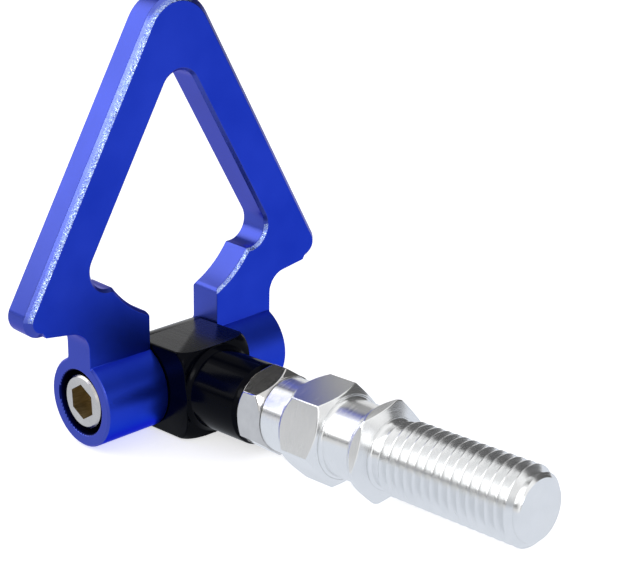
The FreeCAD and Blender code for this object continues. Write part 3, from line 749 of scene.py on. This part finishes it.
# What the bright parts mirror, curved round the stem: name, first and last angle in degrees above the
# left horizon, beginning and end along Y in metres, brightness
TENT_RADIUS = 0.9
TENT_STEPS = 16
TENT_SECTORS = (("low_wall", 0.5, 10.0, -0.2, 1.4, 0.74), ("horizon_strip", 10.0, 23.0, -0.2, 1.4, 0.25),
                ("roof_edge", 82.0, 92.0, 0.45, 1.4, 0.60), ("soft_roof", 92.0, 99.0, 0.45, 1.4, 0.32),
                ("dark_roof", 99.0, 109.0, 0.45, 1.4, 0.06), ("dim_roof", 109.0, 148.0, 0.45, 1.4, 0.30),
                ("grey_roof", 148.0, 178.0, 0.45, 1.4, 0.85), ("right_wall", 124.0, 178.0, -1.00, 0.45, 0.12))


def is_plain_ray(tree):
    """1 for rays that should find the white studio, 0 for those that only light things."""
    path = tree.nodes.new("ShaderNodeLightPath")
    seen = math_node(tree, "MAXIMUM", path.outputs["Is Camera Ray"], path.outputs["Is Glossy Ray"])
    return math_node(tree, "MAXIMUM", seen, path.outputs["Is Transmission Ray"])


def make_world():
    """White air: plain light at a lower level, pure white where a camera or a mirror looks."""
    world = bpy.data.worlds.new("studio_air")
    bpy.context.scene.world = world
    world.use_nodes = True
    tree = world.node_tree
    plain = tree.nodes["Background"]
    plain.inputs["Color"].default_value = WHITE
    plain.inputs["Strength"].default_value = AIR_LEVEL
    white = tree.nodes.new("ShaderNodeBackground")
    white.inputs["Color"].default_value = WHITE
    white.inputs["Strength"].default_value = 1.0
    choose = tree.nodes.new("ShaderNodeMixShader")
    tree.links.new(is_plain_ray(tree), choose.inputs["Fac"])
    tree.links.new(plain.outputs[0], choose.inputs[1])
    tree.links.new(white.outputs[0], choose.inputs[2])
    tree.links.new(choose.outputs[0], tree.nodes["World Output"].inputs["Surface"])


def flat_square(half_side):
    """A level square about the middle, by half its side in metres."""
    shape = bmesh.new()
    bmesh.ops.create_grid(shape, x_segments=1, y_segments=1, size=half_side)
    return shape


def make_floor_material():
    """Lit and shaded like white paper for a camera, one plain pale tone for mirrors."""
    material = bpy.data.materials.new("white_floor")
    material.use_nodes = True
    tree = material.node_tree
    tree.nodes.remove(tree.nodes["Principled BSDF"])
    paper = tree.nodes.new("ShaderNodeBsdfDiffuse")
    paper.inputs["Color"].default_value = FLOOR_PAPER
    glow = tree.nodes.new("ShaderNodeEmission")
    path = tree.nodes.new("ShaderNodeLightPath")
    seen = math_node(tree, "MULTIPLY", path.outputs["Is Camera Ray"], FLOOR_GLOW)
    mirrored = math_node(tree, "MAXIMUM", path.outputs["Is Glossy Ray"], path.outputs["Is Transmission Ray"])
    tree.links.new(math_node(tree, "ADD", seen, mirrored), glow.inputs["Strength"])
    tint = tree.nodes.new("ShaderNodeMix")
    tint.data_type = "RGBA"
    tree.links.new(mirrored, tint.inputs[0])
    tint.inputs[6].default_value = WHITE
    tint.inputs[7].default_value = MIRRORED_FLOOR
    tree.links.new(tint.outputs[2], glow.inputs["Color"])
    dark = math_node(tree, "SUBTRACT", 1.0, mirrored)
    faded = tree.nodes.new("ShaderNodeMixShader")
    tree.links.new(dark, faded.inputs["Fac"])
    tree.links.new(paper.outputs[0], faded.inputs[2])
    both = tree.nodes.new("ShaderNodeAddShader")
    tree.links.new(faded.outputs[0], both.inputs[0])
    tree.links.new(glow.outputs[0], both.inputs[1])
    tree.links.new(both.outputs[0], tree.nodes["Material Output"].inputs["Surface"])
    return material


def make_floor():
    """The white floor, just below the object."""
    low, _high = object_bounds()
    floor = into_scene("studio_floor", flat_square(FLOOR_REACH), [make_floor_material()])
    floor.location.z = low.z - FLOOR_DROP


def make_softbox(name, place, size, radiance):
    """A rectangular lamp of a given brightness, pointed at the object."""
    lamp = bpy.data.lights.new(name, "AREA")
    lamp.shape = "RECTANGLE"
    lamp.size, lamp.size_y = size
    lamp.energy = radiance * math.pi * size[0] * size[1]
    holder = bpy.data.objects.new(name, lamp)
    bpy.context.scene.collection.objects.link(holder)
    holder.location = place
    facing = Vector(AIM) - Vector(place)
    holder.rotation_euler = facing.to_track_quat("-Z", "Y").to_euler()


def only_mirrored(name, shape, grey):
    """A surface of one even brightness that only reflections see, as in a photographer's tent."""
    shader = Shader(name + "_paper")
    shader.set(Base_Color=BLACK, Roughness=1.0, Specular_IOR_Level=0.0)
    shader.set(Emission_Color=WHITE, Emission_Strength=grey)
    card = into_scene(name, shape, [shader.material])
    card.visible_camera = False
    card.visible_diffuse = False
    card.visible_shadow = False
    return card


def make_card(name, place, size, grey):
    """A flat card, pointed at the object."""
    card = only_mirrored(name, flat_square(CARD_HALF_SIDE), grey)
    card.location = place
    card.scale = (*size, 1.0)
    facing = Vector(AIM) - Vector(place)
    card.rotation_euler = facing.to_track_quat("Z", "Y").to_euler()


def make_sector(name, first_degrees, last_degrees, begin, end, grey):
    """A card curved round the stem between two angles above the left horizon."""
    first = math.radians(first_degrees)
    shape = bmesh.new()
    ends = [shape.verts.new((-TENT_RADIUS * math.cos(first), along, TENT_RADIUS * math.sin(first)))
            for along in (begin, end)]
    edge = shape.edges.new(ends)
    bmesh.ops.spin(shape, geom=ends + [edge], cent=(0.0, 0.0, 0.0), axis=(0.0, 1.0, 0.0),
                   angle=math.radians(last_degrees - first_degrees), steps=TENT_STEPS, use_duplicate=False)
    only_mirrored(name, shape, grey)


def make_camera():
    """The photograph's camera, turned by its azimuth, elevation and roll about the target."""
    azimuth = math.radians(CAMERA_AZIMUTH)
    elevation = math.radians(CAMERA_ELEVATION)
    roll = math.radians(CAMERA_ROLL)
    back = Vector((math.sin(azimuth) * math.cos(elevation),
                   -math.cos(azimuth) * math.cos(elevation),
                   math.sin(elevation)))
    right = Vector((math.cos(azimuth), math.sin(azimuth), 0.0))
    up = back.cross(right)
    rolled_right = right * math.cos(roll) + up * math.sin(roll)
    rolled_up = up * math.cos(roll) - right * math.sin(roll)
    data = bpy.data.cameras.new("studio_camera")
    data.sensor_width = SENSOR_WIDTH
    data.lens = FOCAL_PIXELS / IMAGE_WIDTH * SENSOR_WIDTH
    data.clip_start = CAMERA_NEAR
    data.clip_end = CAMERA_FAR
    camera = bpy.data.objects.new("studio_camera", data)
    bpy.context.scene.collection.objects.link(camera)
    turn = Matrix((rolled_right, rolled_up, back)).transposed().to_4x4()
    place = (Vector(CAMERA_TARGET) + back * CAMERA_DISTANCE) * MM
    camera.matrix_world = Matrix.Translation(place) @ turn
    bpy.context.scene.camera = camera


# The object
make_ring()
make_block()
screw_steel = make_screw_steel()
socket_steel = make_socket_steel()
make_screw("left", screw_steel, socket_steel)
make_screw("right", screw_steel, socket_steel)
make_nut()
adapter_steel = make_bright_adapter()
make_adapter(adapter_steel)
make_thread(adapter_steel)

# The studio
bpy.context.scene.view_settings.view_transform = "Standard"
make_world()
make_floor()
for lamp in LAMPS:
    make_softbox(*lamp)
for sector in TENT_SECTORS:
    make_sector(*sector)
for card in CARDS:
    make_card(*card)
make_camera()
